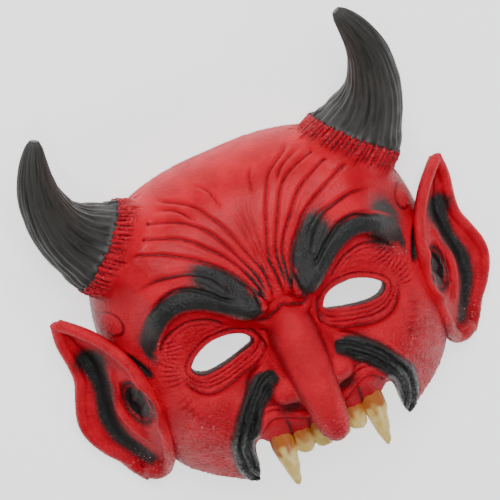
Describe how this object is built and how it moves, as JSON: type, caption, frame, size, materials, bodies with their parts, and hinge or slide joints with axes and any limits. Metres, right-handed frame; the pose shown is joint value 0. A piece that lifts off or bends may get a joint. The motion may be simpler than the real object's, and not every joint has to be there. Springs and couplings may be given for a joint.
{
  "type": "devil half mask",
  "caption": "Moulded foam half mask of a horned devil: furrowed brow, almond eye holes, hooked nose, pointed ears, and a fanged upper jaw.",
  "frame": {"origin": "middle of the mask's width and length, on the table that its rim lies on", "axes": "+X to the wearer's left across the face, +Y from the fangs to the horns, +Z out of the face"},
  "size_m": [0.2342, 0.2202, 0.0855],
  "materials": {
    "moulded_foam_red": "glossy deep red airbrushed black",
    "horn_black": "satin charcoal with lengthwise flutes",
    "tooth_cream": "stained cream"
  },
  "bodies": {
    "root": {"devil_mask": "moulded_foam_red"}
  },
  "joints": []
}
